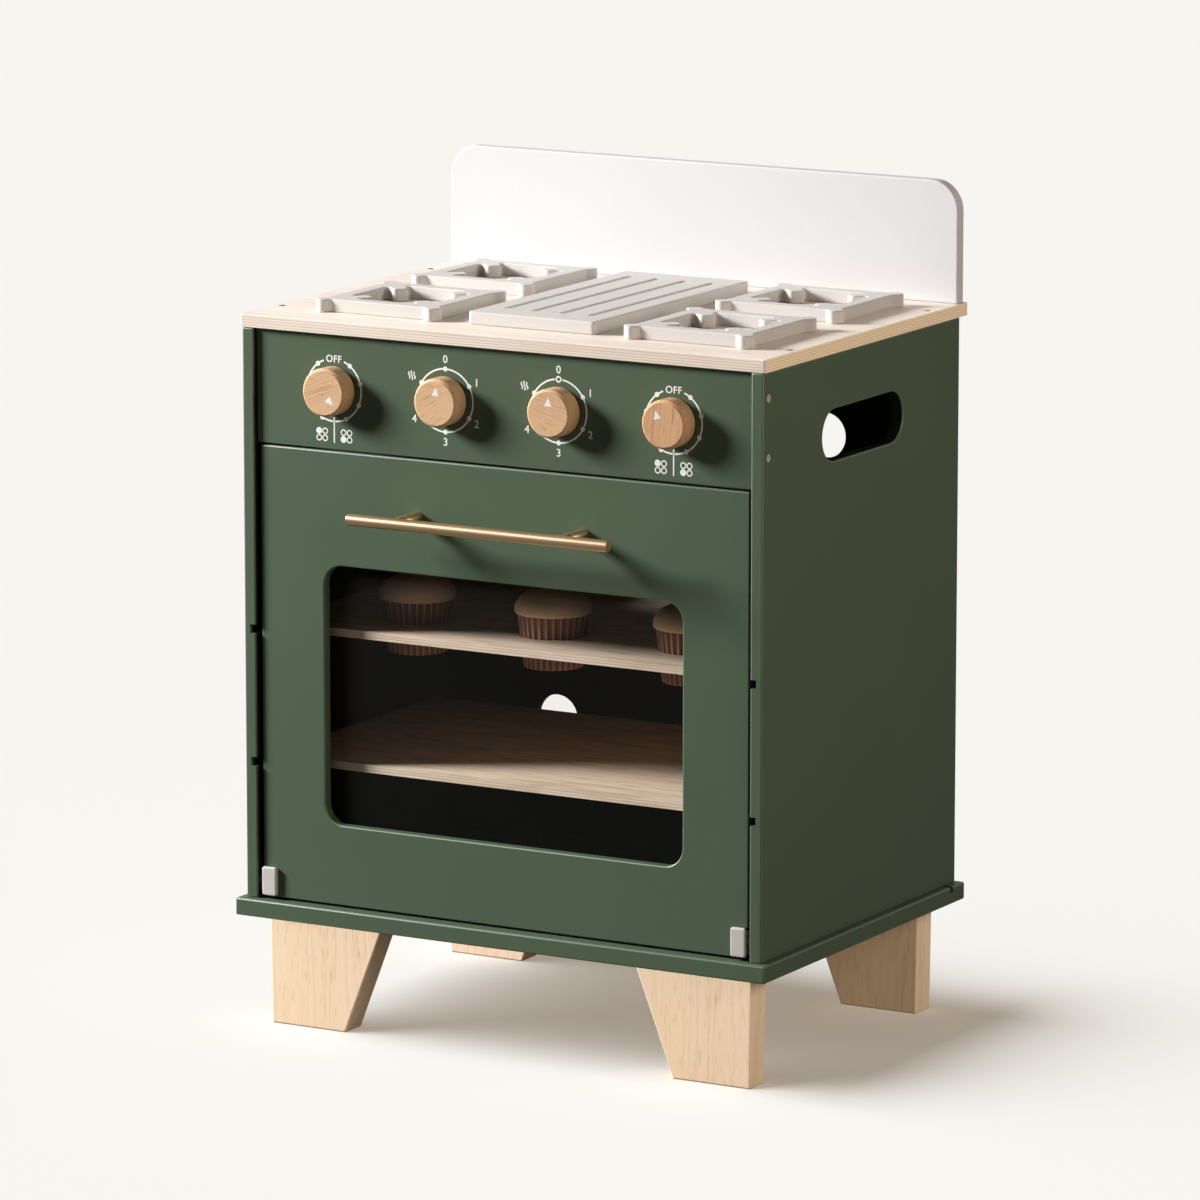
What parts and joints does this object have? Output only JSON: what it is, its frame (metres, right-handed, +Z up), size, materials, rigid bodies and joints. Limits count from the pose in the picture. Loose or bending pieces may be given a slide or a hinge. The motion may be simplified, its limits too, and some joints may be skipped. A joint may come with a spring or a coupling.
{
  "type": "toy oven",
  "caption": "Wooden toy cooker: cabinet on tapered legs with drop-down windowed door, turning knobs, muffins on a shelf, pan grates, griddle and backsplash.",
  "frame": {"origin": "on the floor, under the middle of the whole toy's width and depth", "axes": "+X to the toy's right seen from the front, +Y towards its back, +Z up"},
  "size_m": [0.411, 0.3204, 0.576],
  "materials": {
    "green_paint": "satin green paint on plywood",
    "black_board": "matt black thin board",
    "birch_ply": "clear-varnished birch plywood",
    "white_paint": "satin white paint on plywood",
    "pine": "clear-varnished pale solid wood",
    "grey_paint": "satin light grey paint on wood",
    "steel": "plain steel",
    "clip_plastic": "light grey plastic",
    "pane": "clear acrylic",
    "copper": "brushed coppery metal",
    "knob_wood": "oiled turned wood",
    "muffin_brown": "matt brown stain",
    "muffin_tan": "matt tan stain"
  },
  "bodies": {
    "cabinet": {"base_plate": "green_paint", "left_side_panel": "green_paint", "right_side_panel": "green_paint", "back_panel": "black_board", "control_panel": "green_paint", "countertop": "birch_ply", "backsplash": "white_paint", "upper_shelf": "birch_ply", "lower_shelf": "birch_ply", "front_left_leg": "pine", "front_right_leg": "pine", "back_left_leg": "pine", "back_right_leg": "pine", "front_left_grate": "grey_paint", "front_right_grate": "grey_paint", "back_left_grate": "grey_paint", "back_right_grate": "grey_paint", "griddle": "grey_paint", "countertop_screws": "steel", "control_panel_screws": "steel", "base_screws": "steel", "leg_screws": "steel", "backsplash_screws": "steel", "hob_screws": "steel", "hinge_bushes": "clip_plastic", "magnet_catch": "birch_ply", "catch_magnet": "steel", "catch_screws": "steel"},
    "door": {"door_panel": "green_paint", "door_window": "pane", "window_screws": "steel", "handle_bar": "copper", "handle_posts": "copper", "handle_screws": "steel", "left_hinge_clip": "clip_plastic", "right_hinge_clip": "clip_plastic", "hinge_screws": "steel", "strike_plate": "steel"},
    "knob_1": {"knob_1": "knob_wood", "knob_axle_1": "steel", "axle_clip_1": "steel"},
    "knob_2": {"knob_2": "knob_wood", "knob_axle_2": "steel", "axle_clip_2": "steel"},
    "knob_3": {"knob_3": "knob_wood", "knob_axle_3": "steel", "axle_clip_3": "steel"},
    "knob_4": {"knob_4": "knob_wood", "knob_axle_4": "steel", "axle_clip_4": "steel"},
    "muffin_1": {"muffin_cup_1": "muffin_brown", "muffin_top_1": "muffin_tan"},
    "muffin_2": {"muffin_cup_2": "muffin_brown", "muffin_top_2": "muffin_tan"},
    "muffin_3": {"muffin_cup_3": "muffin_brown", "muffin_top_3": "muffin_tan"}
  },
  "joints": [
    {"name": "door_hinge", "type": "hinge", "parent": "cabinet", "child": "door", "pos_m": [0, -0.12125, 0.1025], "axis": [1, 0, 0], "range_deg": [0, 90]},
    {"name": "knob_1_turn", "type": "hinge", "parent": "cabinet", "child": "knob_1", "pos_m": [-0.1295, -0.13375, 0.445], "axis": [0, 1, 0], "continuous": true},
    {"name": "knob_2_turn", "type": "hinge", "parent": "cabinet", "child": "knob_2", "pos_m": [-0.0425, -0.13375, 0.445], "axis": [0, 1, 0], "continuous": true},
    {"name": "knob_3_turn", "type": "hinge", "parent": "cabinet", "child": "knob_3", "pos_m": [0.0445, -0.13375, 0.445], "axis": [0, 1, 0], "continuous": true},
    {"name": "knob_4_turn", "type": "hinge", "parent": "cabinet", "child": "knob_4", "pos_m": [0.1315, -0.13375, 0.445], "axis": [0, 1, 0], "continuous": true},
    {"name": "muffin_1_lift", "type": "slide", "parent": "cabinet", "child": "muffin_1", "axis": [0, 0, 1], "range_m": [0, 0.06]},
    {"name": "muffin_2_lift", "type": "slide", "parent": "cabinet", "child": "muffin_2", "axis": [0, 0, 1], "range_m": [0, 0.06]},
    {"name": "muffin_3_lift", "type": "slide", "parent": "cabinet", "child": "muffin_3", "axis": [0, 0, 1], "range_m": [0, 0.06]}
  ]
}
